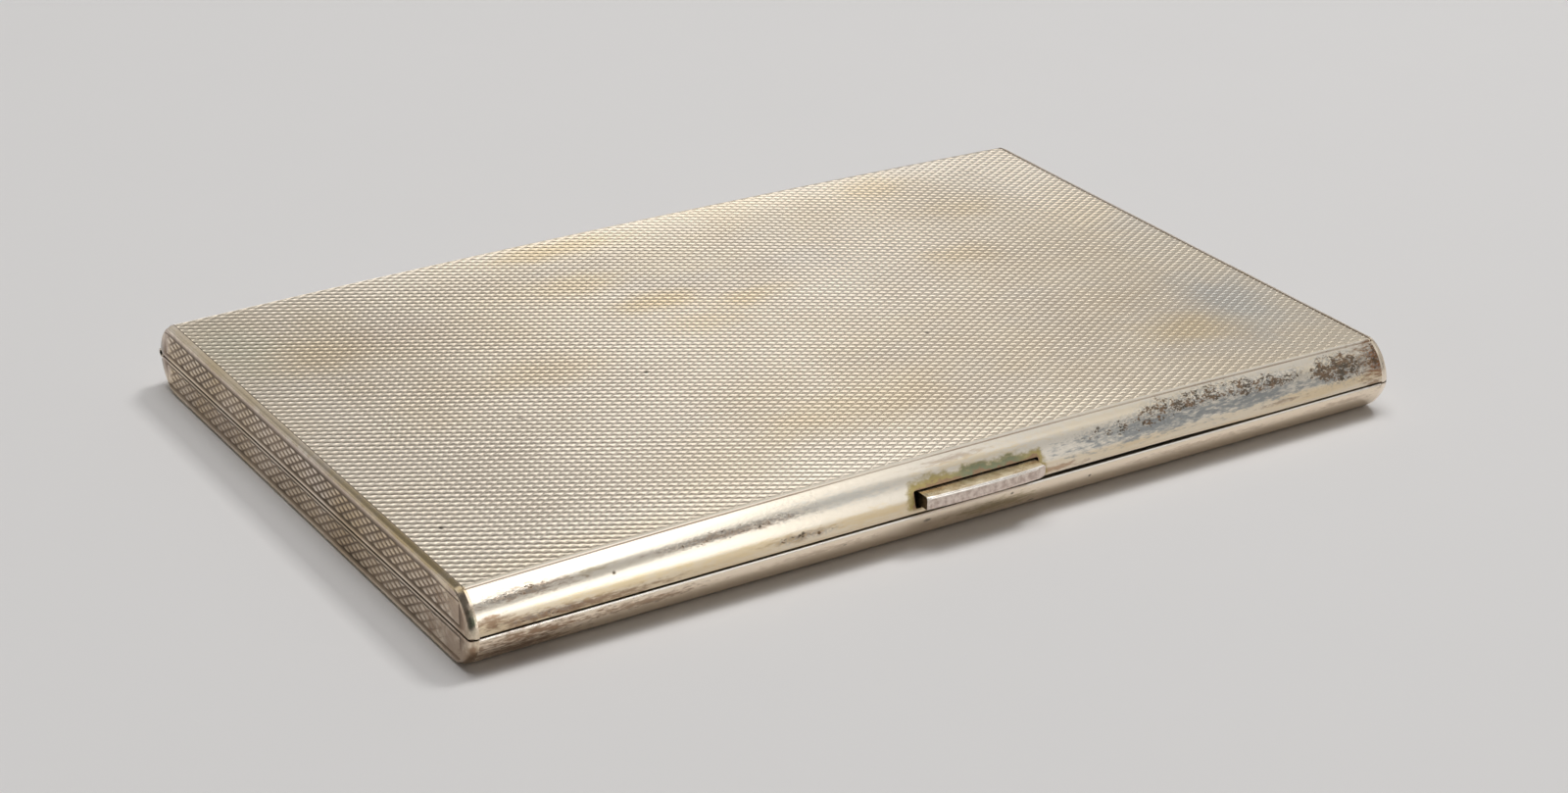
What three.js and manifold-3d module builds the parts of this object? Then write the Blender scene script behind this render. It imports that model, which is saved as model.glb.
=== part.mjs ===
// Slim metal cigarette case: a shallow base and a crowned lid, both with rounded long edges and flat
// ends, joined by a tube hinge along the back and held shut by a sprung thumbpiece in the lid's front.
// Units are millimetres. X runs along the case, Y from the front to the hinge, Z up.
// The origin is the middle of the flat underside.

import * as THREE from 'three';
import { mergeVertices } from 'three/addons/utils/BufferGeometryUtils.js';
import Module from 'manifold-3d';

const wasm = await Module();
wasm.setup();

// Case
const caseLength = 127;
const caseWidth = 83.5;
const baseHeight = 4.4; // underside to seam
const lidHeight = 4.8; // seam to lid top, at the ends
const lidCrown = 0.7; // further rise of the lid at mid-length
const edgeDepth = 3.7; // reach of the rounded long edges, in from their apex
const edgeFullness = 1.7; // exponent of the rounded edge: 1 is a chamfer, 2 an ellipse
const sheet = 0.8; // wall of both shells
const endThickness = 1.1;
const endBevel = 0.6; // softened rim of the end plates
const seamGap = 0.2;

// Clearances
const solderGap = 0.1; // between a soldered piece and a curved wall
const slideGap = 0.2; // around pieces that slide past each other
const latchGap = 0.15; // between the hook's barb and the keeper it passes
const strapGap = 0.3; // around the elastic straps

// Hinge
const knuckleCount = 9; // odd, so that the base holds both ends
const knuckleRadius = 0.6;
const knuckleGap = 0.15; // between neighbouring knuckles
const hingeSetback = 0.3; // hinge axis, in from the back apex
const hingeGap = 0.15; // between the knuckles and the walls beside them
const hingeInset = 0.1; // hinge ends, in from the end faces
const pinRadius = 0.3;
const pinClearance = 0.07;
const pinInset = 0.3; // pin ends, in from the hinge ends
const bearerWidth = 3;
const bearerThickness = 0.8;
const leafThickness = 0.45;
const leafMargin = 0.3; // leaf edge, in from the bearer's edge

// Bezel: the upright rim inside the base that the lid closes over
const bezelThickness = 0.5;
const bezelRise = 0.7; // above the seam

// Catch
const thumbOffset = 1.2; // centre of the thumbpiece, right of mid-length
const thumbLength = 16.5;
const thumbHeight = 1.55;
const thumbRise = 1.0; // underside of the thumbpiece above the seam
const thumbProud = 1.4; // beyond the front apex
const thumbCorner = 0.45;
const thumbBow = 0.25; // bulge of its front face
const springThickness = 0.4;
const springReach = 30; // from the thumbpiece's centre to a spring's far end
const springTopGap = 0.5; // below the lid's inside
const springSetback = 0.15; // back of the springs, behind the end of the rounded edge
const postLength = 4;
const postDepth = 1.2;
const rivetRadius = 0.45;
const rivetHeadRadius = 0.85;
const rivetHeadThickness = 0.35;
const rivetClearance = 0.05;
const hookWidth = 7;
const hookThickness = 0.5;
const barbReach = 0.9;
const barbHeight = 0.6;
const keeperWidth = 10;
const keeperThickness = 0.6;
const keeperDrop = 0.1; // top of the keeper below the seam

// Straps
const strapWidth = 10;
const strapThickness = 0.6;
const clipLength = 3;
const clipSheet = 0.5;

// Facets
const edgeSegments = 9; // in each rounded quarter
const crownSteps = 12; // along the crowned lid
const bevelSegments = 3; // in the softened rims
const roundSides = 16; // of knuckles, pin and rivets

// Places worked out from the sizes
const halfLength = caseLength / 2;
const halfWidth = caseWidth / 2;
const seamZ = baseHeight;
const caseTop = baseHeight + lidHeight;
const flatHalf = halfWidth - edgeDepth; // half width of the flat underside
const innerHalf = halfLength - endThickness; // inside faces of the end plates
const floorZ = sheet;
const ceilingZ = caseTop - sheet; // inside of the lid, at its ends
const wellClear = 5; // overshoot of cutting blocks
const hingeY = halfWidth - hingeSetback;
const hingeSlot = knuckleRadius + hingeGap; // half height of the slot that the knuckles lie in
const bearerInnerY = wallReach(baseHeight, hingeSlot + bearerThickness) - solderGap - bearerWidth;
const bezelOuter = halfWidth - sheet - slideGap;
const bezelInner = bezelOuter - bezelThickness;
const bezelTop = seamZ + bezelRise;
const endBezelOuter = innerHalf - slideGap;
const clipOuter = endBezelOuter - bezelThickness - slideGap;
const springBack = -flatHalf + springSetback;
const springFront = springBack - springThickness;
const springTop = ceilingZ - springTopGap;
const thumbZ = seamZ + thumbRise;
const barbTip = springBack - barbReach;
const keeperTop = seamZ - keeperDrop;
const keeperBottom = keeperTop - keeperThickness;
const barbTop = keeperBottom - latchGap;

// Materials
const silverPlate = { color: 0xc9bda4, roughness: 0.3, metalness: 1 };
const tarnishedSilver = { color: 0x8d7d6b, roughness: 0.4, metalness: 1 };
const gilt = { color: 0xc9a45c, roughness: 0.35, metalness: 1 };
const springBrass = { color: 0xb39a5e, roughness: 0.4, metalness: 1 };
const pinSteel = { color: 0x8b8d90, roughness: 0.35, metalness: 1 };
const elastic = { color: 0x4a3b2c, roughness: 0.9, metalness: 0 };

// Rise of the rounded edge, as a share of its height, at a share of its reach; it is its own inverse.
function roundedEdge(share) {
  return (1 - share ** edgeFullness) ** (1 / edgeFullness);
}

// Distance from the case's middle to the inside of a long wall, at a depth from the seam.
function wallReach(halfHeight, depth) {
  return flatHalf + (edgeDepth - sheet) * roundedEdge(depth / (halfHeight - sheet));
}

// Depth from the seam to the inside of a long wall, at a distance from the case's middle.
function wallDepth(halfHeight, reach) {
  return (halfHeight - sheet) * roundedEdge((reach - flatHalf) / (edgeDepth - sheet));
}

// Rise of the crowned lid at a place along the case.
function crownAt(x) {
  return lidCrown * Math.max(0, 1 - (x / innerHalf) ** 2);
}

// Points of one rounded quarter of the end outline (Y, Z), from its apex to the flat.
function roundedQuarter(side, rise, inset) {
  const points = [];
  for (let step = 0; step <= edgeSegments; step += 1) {
    const turn = (step / edgeSegments) * (Math.PI / 2);
    const out = Math.max(0, Math.cos(turn)) ** (2 / edgeFullness);
    const up = Math.sin(turn) ** (2 / edgeFullness);
    points.push(new THREE.Vector2(side * (flatHalf + (edgeDepth - inset) * out), seamZ + rise * up));
  }
  return points;
}

// Points of the whole end outline, inset from the case's outside.
function caseOutline(inset) {
  const lidRise = lidHeight - inset;
  const baseDrop = inset - baseHeight;
  return [
    ...roundedQuarter(1, baseDrop, inset).reverse(), // underside to back apex
    ...roundedQuarter(1, lidRise, inset).slice(1), // on to the lid's top
    ...roundedQuarter(-1, lidRise, inset).reverse(), // down to the front apex
    ...roundedQuarter(-1, baseDrop, inset).slice(1), // and back to the underside
  ];
}

// Solids and geometry
function toSolid(geometry) {
  const bare = geometry.clone();
  bare.deleteAttribute('normal');
  bare.deleteAttribute('uv');
  const merged = mergeVertices(bare);
  const mesh = new wasm.Mesh({
    numProp: 3,
    vertProperties: new Float32Array(merged.attributes.position.array),
    triVerts: new Uint32Array(merged.index.array),
  });
  return new wasm.Manifold(mesh);
}

function toGeometry(solid) {
  const mesh = solid.getMesh();
  const geometry = new THREE.BufferGeometry();
  geometry.setAttribute('position', new THREE.BufferAttribute(mesh.vertProperties, 3));
  geometry.setIndex(new THREE.BufferAttribute(mesh.triVerts, 1));
  geometry.computeVertexNormals();
  return geometry;
}

function block(x, y, z) {
  const geometry = new THREE.BoxGeometry(x[1] - x[0], y[1] - y[0], z[1] - z[0]);
  geometry.translate((x[0] + x[1]) / 2, (y[0] + y[1]) / 2, (z[0] + z[1]) / 2);
  return toSolid(geometry);
}

// Round bar along X.
function barAlongX(radius, x, y, z) {
  const geometry = new THREE.CylinderGeometry(radius, radius, x[1] - x[0], roundSides);
  geometry.rotateZ(Math.PI / 2);
  geometry.translate((x[0] + x[1]) / 2, y, z);
  return toSolid(geometry);
}

// Round bar along Y.
function barAlongY(radius, y, x, z) {
  const geometry = new THREE.CylinderGeometry(radius, radius, y[1] - y[0], roundSides);
  geometry.translate(x, (y[0] + y[1]) / 2, z);
  return toSolid(geometry);
}

// Sweeps an outline of (Y, Z) points along X.
function sweepAlongX(shape, settings, startX) {
  const geometry = new THREE.ExtrudeGeometry(shape, settings);
  const yAxis = new THREE.Vector3(0, 1, 0);
  const zAxis = new THREE.Vector3(0, 0, 1);
  const xAxis = new THREE.Vector3(1, 0, 0);
  geometry.applyMatrix4(new THREE.Matrix4().makeBasis(yAxis, zAxis, xAxis));
  geometry.translate(startX, 0, 0);
  return geometry;
}

// Spaces on either side of the seam, as cutting blocks
const everyX = [-halfLength - wellClear, halfLength + wellClear];
const everyY = [-halfWidth - wellClear, halfWidth + wellClear];
const belowSeam = block(everyX, everyY, [-wellClear, seamZ - seamGap / 2]);
const aboveSeam = block(everyX, everyY, [seamZ + seamGap / 2, caseTop + lidCrown + wellClear]);

// Hinge room: a slot through the back walls, a round notch in the end plates, and a flat behind the
// axis on both, so that the lid can fold right back.
const behindAxis = block(everyX, [hingeY, halfWidth + wellClear], [-wellClear, caseTop + wellClear]);
const hingeSlotRoom = block(
  everyX,
  [bearerInnerY, halfWidth + wellClear],
  [seamZ - hingeSlot, seamZ + hingeSlot],
).add(behindAxis);
const hingeNotchRoom = barAlongX(hingeSlot / Math.cos(Math.PI / roundSides), everyX, hingeY, seamZ)
  .add(behindAxis);

// Shells
function tubeOfSheet(steps) {
  const shape = new THREE.Shape(caseOutline(0));
  shape.holes.push(new THREE.Path(caseOutline(sheet)));
  const settings = { depth: 2 * innerHalf, steps, bevelEnabled: false };
  return sweepAlongX(shape, settings, -innerHalf);
}

function makeBaseShell() {
  return toSolid(tubeOfSheet(1)).intersect(belowSeam).subtract(hingeSlotRoom);
}

function makeLidShell() {
  const tube = tubeOfSheet(crownSteps);
  const position = tube.attributes.position;
  for (let i = 0; i < position.count; i += 1) {
    const share = Math.min(1, Math.max(0, (position.getZ(i) - seamZ) / (lidHeight - sheet)));
    position.setZ(i, position.getZ(i) + share * crownAt(position.getX(i)));
  }
  const window = block(
    [thumbOffset - thumbLength / 2 - slideGap, thumbOffset + thumbLength / 2 + slideGap],
    [-halfWidth - wellClear, springFront],
    [thumbZ - slideGap, thumbZ + thumbHeight + slideGap],
  );
  return toSolid(tube).intersect(aboveSeam).subtract(hingeSlotRoom).subtract(window);
}

// End plates: slices of one bar of the case's outline, with softened rims at both ends.
const softenedBar = toSolid(sweepAlongX(
  new THREE.Shape(caseOutline(0)),
  {
    depth: caseLength - 2 * endBevel,
    bevelThickness: endBevel,
    bevelSize: endBevel,
    bevelOffset: -endBevel,
    bevelSegments,
  },
  -halfLength + endBevel,
)).subtract(hingeNotchRoom);

function makeEndPlate(side, half) {
  const x = side < 0 ? [everyX[0], -innerHalf] : [innerHalf, everyX[1]];
  const slice = block(x, everyY, [-wellClear, caseTop + wellClear]);
  return softenedBar.intersect(slice).intersect(half);
}

// Bezels
function makeFrontBezel() {
  const bottom = seamZ - wallDepth(baseHeight, bezelOuter) + solderGap;
  return block([-endBezelOuter, endBezelOuter], [-bezelOuter, -bezelInner], [bottom, bezelTop]);
}

function makeEndBezel(side) {
  const x = [side * endBezelOuter, side * (endBezelOuter - bezelThickness)];
  x.sort((a, b) => a - b);
  return block(x, [-flatHalf, bearerInnerY - solderGap], [floorZ, bezelTop]);
}

// Hinge
function makeBearer(direction, half) {
  const near = seamZ + direction * hingeSlot;
  const far = near + direction * bearerThickness;
  const outerY = wallReach(half, hingeSlot + bearerThickness) - solderGap;
  const x = [-innerHalf + solderGap, innerHalf - solderGap];
  return block(x, [bearerInnerY, outerY], [Math.min(near, far), Math.max(near, far)]);
}

function makeKnuckle(index, direction) {
  const hingeHalf = halfLength - hingeInset;
  const pitch = (2 * hingeHalf + knuckleGap) / knuckleCount;
  const start = -hingeHalf + index * pitch;
  const end = start + pitch - knuckleGap;
  const bore = barAlongX(pinRadius + pinClearance, [start - wellClear, end + wellClear], hingeY, seamZ);
  const seat = seamZ + direction * hingeSlot;
  const top = seat - direction * leafThickness;
  const leafX = [Math.max(start, -innerHalf + solderGap), Math.min(end, innerHalf - solderGap)];
  const leaf = block(
    leafX,
    [bearerInnerY + leafMargin, hingeY],
    [Math.min(seat, top), Math.max(seat, top)],
  );
  return barAlongX(knuckleRadius, [start, end], hingeY, seamZ).add(leaf).subtract(bore);
}

function makeHingePin() {
  const reach = halfLength - hingeInset - pinInset;
  return barAlongX(pinRadius, [-reach, reach], hingeY, seamZ);
}

// Catch
function makeThumbpiece() {
  const left = thumbOffset - thumbLength / 2;
  const right = thumbOffset + thumbLength / 2;
  const sideFront = -halfWidth - thumbProud + thumbBow;
  const shape = new THREE.Shape();
  shape.moveTo(left, springFront);
  shape.lineTo(left, sideFront + thumbCorner);
  shape.quadraticCurveTo(left, sideFront, left + thumbCorner, sideFront);
  shape.quadraticCurveTo(thumbOffset, sideFront - 2 * thumbBow, right - thumbCorner, sideFront);
  shape.quadraticCurveTo(right, sideFront, right, sideFront + thumbCorner);
  shape.lineTo(right, springFront);
  const geometry = new THREE.ExtrudeGeometry(shape, {
    depth: thumbHeight,
    bevelEnabled: false,
    curveSegments: edgeSegments,
  });
  geometry.translate(0, 0, thumbZ);
  return toSolid(geometry);
}

function makeHook() {
  const x = [thumbOffset - hookWidth / 2, thumbOffset + hookWidth / 2];
  const barbBottom = barbTop - barbHeight;
  const plate = block(x, [springBack, springBack + hookThickness], [barbBottom, thumbZ + thumbHeight]);
  const barb = block(x, [barbTip, springBack], [barbBottom, barbTop]);
  return plate.add(barb);
}

function makeKeeper() {
  const x = [thumbOffset - keeperWidth / 2, thumbOffset + keeperWidth / 2];
  return block(x, [-bezelInner, barbTip - latchGap], [keeperBottom, keeperTop]);
}

function rivetPlace(side) {
  return { x: thumbOffset + side * (springReach - postLength / 2), z: (thumbZ + springTop) / 2 };
}

function rivetHole(side) {
  const { x, z } = rivetPlace(side);
  return barAlongY(rivetRadius + rivetClearance, [springFront - wellClear, wellClear], x, z);
}

function makeSpring(side) {
  const x = [thumbOffset + side * slideGap, thumbOffset + side * springReach];
  x.sort((a, b) => a - b);
  return block(x, [springFront, springBack], [thumbZ, springTop]).subtract(rivetHole(side));
}

function makePost(side) {
  const far = thumbOffset + side * springReach;
  const x = [far, far - side * postLength];
  x.sort((a, b) => a - b);
  const widest = Math.max(Math.abs(x[0]), Math.abs(x[1]));
  const top = ceilingZ + crownAt(widest) - solderGap;
  return block(x, [springBack, springBack + postDepth], [thumbZ, top]).subtract(rivetHole(side));
}

function makeRivet(side) {
  const { x, z } = rivetPlace(side);
  const back = springBack + postDepth;
  const head = barAlongY(rivetHeadRadius, [springFront - rivetHeadThickness, springFront], x, z);
  const tail = barAlongY(rivetHeadRadius, [back, back + rivetHeadThickness], x, z);
  return barAlongY(rivetRadius, [springFront - solderGap, back + solderGap], x, z).add(head).add(tail);
}

// Straps: an elastic band along each half, its ends held under bridge clips.
const strapSeat = { base: floorZ, lid: ceilingZ };
const inward = { base: 1, lid: -1 };

function spanFrom(seat, direction, near, far) {
  const z = [seat + direction * near, seat + direction * far];
  return z.sort((a, b) => a - b);
}

function makeStrap(half) {
  const reach = clipOuter - strapGap;
  const z = spanFrom(strapSeat[half], inward[half], strapGap, strapGap + strapThickness);
  return block([-reach, reach], [-strapWidth / 2, strapWidth / 2], z);
}

function makeStrapClip(half, side) {
  const x = [side * clipOuter, side * (clipOuter - clipLength)];
  x.sort((a, b) => a - b);
  const tunnel = strapThickness + 2 * strapGap;
  const tunnelSide = strapWidth / 2 + strapGap;
  const outside = tunnelSide + clipSheet;
  const body = block(
    x,
    [-outside, outside],
    spanFrom(strapSeat[half], inward[half], 0, tunnel + clipSheet),
  );
  const opening = block(
    everyX,
    [-tunnelSide, tunnelSide],
    spanFrom(strapSeat[half], inward[half], -wellClear, tunnel),
  );
  return body.subtract(opening);
}

// Assembly
const base = new THREE.Group();
const lid = new THREE.Group();
const catchGroup = new THREE.Group();
lid.add(catchGroup);

function place(group, name, solid, finish) {
  const mesh = new THREE.Mesh(toGeometry(solid), new THREE.MeshStandardMaterial(finish));
  mesh.name = name;
  group.add(mesh);
}

place(base, 'base_shell', makeBaseShell(), silverPlate);
place(lid, 'lid_shell', makeLidShell(), silverPlate);
place(base, 'front_bezel', makeFrontBezel(), gilt);
place(base, 'catch_keeper', makeKeeper(), gilt);
place(base, 'base_hinge_bearer', makeBearer(-1, baseHeight), gilt);
place(lid, 'lid_hinge_bearer', makeBearer(1, lidHeight), gilt);
place(base, 'hinge_pin', makeHingePin(), pinSteel);
place(base, 'base_strap', makeStrap('base'), elastic);
place(lid, 'lid_strap', makeStrap('lid'), elastic);
place(catchGroup, 'thumbpiece', makeThumbpiece(), silverPlate);
place(catchGroup, 'catch_hook', makeHook(), springBrass);

for (const [sideName, side] of [['left', -1], ['right', 1]]) {
  place(base, `base_${sideName}_end`, makeEndPlate(side, belowSeam), tarnishedSilver);
  place(lid, `lid_${sideName}_end`, makeEndPlate(side, aboveSeam), tarnishedSilver);
  place(base, `${sideName}_bezel`, makeEndBezel(side), gilt);
  place(lid, `catch_post_${sideName}`, makePost(side), gilt);
  place(lid, `catch_spring_${sideName}`, makeSpring(side), springBrass);
  place(lid, `catch_rivet_${sideName}`, makeRivet(side), springBrass);
  place(base, `base_strap_clip_${sideName}`, makeStrapClip('base', side), gilt);
  place(lid, `lid_strap_clip_${sideName}`, makeStrapClip('lid', side), gilt);
}

for (let index = 0; index < knuckleCount; index += 1) {
  const inBase = index % 2 === 0;
  const name = `${inBase ? 'base' : 'lid'}_knuckle_${Math.floor(index / 2) + 1}`;
  place(inBase ? base : lid, name, makeKnuckle(index, inBase ? -1 : 1), silverPlate);
}

const cigaretteCase = new THREE.Group();
cigaretteCase.add(base, lid);

export default cigaretteCase;
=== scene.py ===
import bmesh
import bpy
import math
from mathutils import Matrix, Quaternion, Vector


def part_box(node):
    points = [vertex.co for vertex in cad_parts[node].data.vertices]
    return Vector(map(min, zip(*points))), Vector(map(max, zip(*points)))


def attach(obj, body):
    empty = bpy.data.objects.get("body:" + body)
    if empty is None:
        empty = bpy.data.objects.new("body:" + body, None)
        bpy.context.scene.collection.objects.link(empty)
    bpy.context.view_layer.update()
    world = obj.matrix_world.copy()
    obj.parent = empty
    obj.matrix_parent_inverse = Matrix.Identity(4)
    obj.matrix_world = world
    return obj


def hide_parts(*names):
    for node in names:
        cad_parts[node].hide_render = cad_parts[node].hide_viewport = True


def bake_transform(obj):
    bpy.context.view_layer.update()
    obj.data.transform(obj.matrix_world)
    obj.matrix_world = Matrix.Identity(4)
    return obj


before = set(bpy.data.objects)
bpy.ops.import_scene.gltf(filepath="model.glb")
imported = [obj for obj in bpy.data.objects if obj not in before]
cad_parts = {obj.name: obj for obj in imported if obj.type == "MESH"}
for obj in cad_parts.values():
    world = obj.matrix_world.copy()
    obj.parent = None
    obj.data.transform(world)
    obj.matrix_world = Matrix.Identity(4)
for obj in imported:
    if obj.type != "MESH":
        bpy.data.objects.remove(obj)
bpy.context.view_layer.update()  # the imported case: metres, +X along its length, -Y at the catch, +Z up
mm = 0.001
print("frame loaded")

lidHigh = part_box("lid_shell")[1]
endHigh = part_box("lid_right_end")[1]
pinLow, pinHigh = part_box("hinge_pin")
shellHalf = lidHigh.x  # shells end here, end plates begin
endHalf = endHigh.x
hingeY = (pinLow.y + pinHigh.y) / 2
seamZ = (pinLow.z + pinHigh.z) / 2
frontHalf = 41.75 * mm  # middle to the front apex
edgeDepth = 3.7 * mm  # how far in the rounded long edges reach
flatHalf = frontHalf - edgeDepth

caseShape = {
    "seamGap": 0.2 * mm,
    "crown": lidHigh.z - endHigh.z,
    "fullness": 1.7,  # exponent of the rounded edges, 2 would be round
    "edgeSteps": 26,
    "lengthSteps": 28,
    "sheet": 0.8 * mm,
    "lip": 0.04 * mm,  # clean edge of the seam before the painted shade in it
    "taperX": 62.75 * mm,  # the end plates fall away from here to their faces
    "taper": 0.28 * mm,
    "rim": 0.22 * mm,  # rounding round the end faces
    "rimSteps": 4,
    "hingeClear": 0.75 * mm,
    "hingeSides": 40,
    "smoothAngle": math.radians(35),
}

lidHalf = {"side": 1, "height": endHigh.z - seamZ, "body": "lid",
           "seamEdge": 0.12 * mm, "seamSteps": 3, "seamRub": 0.1 * mm}
baseHalf = {"side": -1, "height": seamZ, "body": "base",
            "seamEdge": 0.14 * mm, "seamSteps": 1, "seamRub": 0.0}

grainShape = {
    "pitch": 1.97 * mm,  # one grain, tip to tip
    "row": 0.5715 * mm,  # row to row, each row half a grain along
    "height": 0.13 * mm,
    "shoulder": 0.8,  # crest height a quarter of the way along
    "wornFrom": 0.75,  # share of the panel past which the grain is rubbed flatter
    "sink": 0.14 * mm,  # floor of the turned panel under the plain metal
    "slope": 0.06 * mm,  # run of the step round the panel
    "panelY": 38.42 * mm,  # border of the turned panel, from the middle
    "lineY": 38.82 * mm,  # engraved line outside a narrow flat rim
    "lineHalf": 0.15 * mm,
    "lineFloor": 0.09 * mm,
    "lineDepth": 0.1 * mm,
    "panelX": 62.55 * mm,
    "shortSideShade": 0.14 * mm,  # painted shade along the turned face's short sides
    "endPanelY": 39.3 * mm,
    "seamShade": 0.12 * mm,  # reach of the painted shade along the ends' seam
    "endLine": 0.16 * mm,  # line above and below the turning on the ends
}
slack = 0.002 * mm  # places nearer than this are one

thumbLow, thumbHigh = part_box("thumbpiece")
thumbShape = {
    "slideGap": 0.2 * mm,
    "leftPlay": 0.45 * mm,  # the window is wider than the bar at the left
    "bow": 0.25 * mm,  # the middle stands further out than the ends
    "edge": 0.08 * mm,
    "frontEdge": 0.32 * mm,
    "lowerRight": 0.75 * mm,  # rounding of the right end, below and above
    "upperRight": 0.3 * mm,
    "roundSteps": 6,
    "frontSteps": 4,
    "steps": 12,
}


def windowBox():  # corners of the thumbpiece's window in the lid's front
    gap = thumbShape["slideGap"]
    low = (thumbLow.x - gap - thumbShape["leftPlay"], thumbLow.y - gap, thumbLow.z - gap)
    high = (thumbHigh.x + gap, thumbHigh.y + gap, thumbHigh.z + gap)
    return low, high


# Working in object and edit mode

def deselectAll():
    if bpy.context.mode != "OBJECT":
        bpy.ops.object.mode_set(mode="OBJECT")
    bpy.ops.object.select_all(action="DESELECT")


def takeUp(obj):
    deselectAll()
    obj.select_set(True)
    bpy.context.view_layer.objects.active = obj


def edit(obj):
    takeUp(obj)
    bpy.ops.object.mode_set(mode="EDIT")
    bpy.ops.mesh.select_all(action="SELECT")


def leaveEdit():
    bpy.ops.object.mode_set(mode="OBJECT")


def near(a, b):
    return abs(a - b) < slack


def pick(obj, kind, test):
    modes = {"verts": "VERT", "edges": "EDGE", "faces": "FACE"}
    bpy.ops.mesh.select_mode(type=modes[kind])
    bpy.ops.mesh.select_all(action="DESELECT")
    bm = bmesh.from_edit_mesh(obj.data)
    bm.normal_update()
    for item in getattr(bm, kind):
        item.select_set(bool(test(item)))
    bmesh.update_edit_mesh(obj.data)


def cutAt(point, normal, **clearing):
    bpy.ops.mesh.bisect(plane_co=point, plane_no=normal, threshold=1e-6, **clearing)


def cutAll(point, normal, **clearing):
    bpy.ops.mesh.select_all(action="SELECT")
    cutAt(point, normal, **clearing)


def sliceAlong(low, high, steps):  # even cuts across X
    for step in range(1, steps):
        cutAll((low + (high - low) * step / steps, 0, 0), (1, 0, 0))


def bevelEdges(offset, segments, **more):
    bpy.ops.mesh.bevel(offset=offset, segments=segments, affect="EDGES", clamp_overlap=False, **more)


def weld():
    bpy.ops.mesh.select_all(action="SELECT")
    bpy.ops.mesh.remove_doubles(threshold=slack)


def faceOutward():
    bpy.ops.mesh.select_all(action="SELECT")
    bpy.ops.mesh.normals_make_consistent(inside=False)


def applyPlace():
    bpy.ops.object.transform_apply(location=True, rotation=True, scale=True)


def nameNew(name):
    applyPlace()
    obj = bpy.context.object
    obj.name = name
    obj.data.name = name
    return obj


def addBox(name, low, high):
    deselectAll()
    middle = [(a + b) / 2 for a, b in zip(low, high)]
    size = [b - a for a, b in zip(low, high)]
    bpy.ops.mesh.primitive_cube_add(size=1, location=middle, scale=size)
    return nameNew(name)


def addRod(name, xLow, xHigh, y, z, radius, sides, ends="NGON"):
    deselectAll()
    bpy.ops.mesh.primitive_cylinder_add(
        vertices=sides, radius=radius, depth=xHigh - xLow, end_fill_type=ends,
        location=((xLow + xHigh) / 2, y, z), rotation=(0, math.pi / 2, 0))
    return nameNew(name)


def copyOf(obj, name):
    twin = obj.copy()
    twin.data = obj.data.copy()
    twin.name = name
    twin.data.name = name
    bpy.context.scene.collection.objects.link(twin)
    return twin


def addModifier(obj, name, kind, **settings):
    modifier = obj.modifiers.new(name, kind)
    for key, value in settings.items():
        setattr(modifier, key, value)
    return modifier


def applyModifier(obj, name, kind, **settings):
    modifier = addModifier(obj, name, kind, **settings)
    takeUp(obj)
    bpy.ops.object.modifier_apply(modifier=modifier.name)


def edgeRounding(width, degrees=50, segments=2):
    return {"width": width, "segments": segments, "limit_method": "ANGLE",
            "angle_limit": math.radians(degrees)}


def cutAway(obj, cutter):
    applyModifier(obj, "cut", "BOOLEAN", operation="DIFFERENCE", object=cutter, solver="EXACT")
    bpy.data.objects.remove(cutter)


def joinTo(obj, *others):
    takeUp(obj)
    for other in others:
        other.select_set(True)
    bpy.ops.object.join()


def smooth(obj):
    takeUp(obj)
    bpy.ops.object.shade_smooth_by_angle(angle=caseShape["smoothAngle"], keep_sharp_edges=True)


def setMaterials(obj, *materials):
    obj.data.materials.clear()
    for material in materials:
        obj.data.materials.append(material)


def standFor(obj, cadName, body):
    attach(obj, body)
    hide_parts(cadName)


# Node helpers for the materials

metalTones = {
    "silver": (0.86, 0.775, 0.645),
    "straw": (0.83, 0.685, 0.46),
    "gold": (0.80, 0.62, 0.34),
    "ash": (0.70, 0.665, 0.61),
    "violet": (0.66, 0.59, 0.55),
    "steelBlue": (0.60, 0.62, 0.60),
    "moss": (0.66, 0.66, 0.52),
    "brown": (0.22, 0.115, 0.055),
    "rust": (0.34, 0.16, 0.075),
    "soot": (0.10, 0.075, 0.05),
    "bistre": (0.25, 0.15, 0.08),
    # near black, for painted shade in the seam
    "seamShadeBlack": (0.02, 0.015, 0.01),
    "blush": (0.90, 0.76, 0.59),
    # painted highlight for the base's lip
    "lipHighlight": (0.93, 0.87, 0.78),
    "olive": (0.38, 0.29, 0.09),
    "tan": (0.74, 0.59, 0.38),
    "mauve": (0.50, 0.40, 0.34),
    "cream": (0.95, 0.84, 0.71),
    "umber": (0.33, 0.21, 0.13),
    "slate": (0.34, 0.345, 0.335),
    "verdigris": (0.21, 0.24, 0.16),
}


def feed(tree, socket, value):
    if isinstance(value, bpy.types.NodeSocket):
        tree.links.new(value, socket)
    elif socket.type == "RGBA":
        socket.default_value = (*metalTones.get(value, value), 1)  # a tone's name, or a colour
    else:
        socket.default_value = value


def node(tree, kind, inputs=None, **settings):
    made = tree.nodes.new(kind)
    for key, value in settings.items():
        setattr(made, key, value)
    for key, value in (inputs or {}).items():
        feed(tree, made.inputs[key], value)
    return made


def maths(tree, operation, a, b=0.0, clamp=False):
    made = node(tree, "ShaderNodeMath", {0: a, 1: b}, operation=operation, use_clamp=clamp)
    return made.outputs[0]


def times(tree, a, b, clamp=False):
    return maths(tree, "MULTIPLY", a, b, clamp)


def plus(tree, a, b):
    return maths(tree, "ADD", a, b)


def minus(tree, a, b, clamp=False):
    return maths(tree, "SUBTRACT", a, b, clamp)


def apart(tree, a, b):
    return maths(tree, "ABSOLUTE", minus(tree, a, b))


def vectorMaths(tree, operation, a, b=(0, 0, 0)):
    made = node(tree, "ShaderNodeVectorMath", {0: a, 1: b}, operation=operation)
    return made.outputs["Value" if operation == "LENGTH" else "Vector"]


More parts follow.
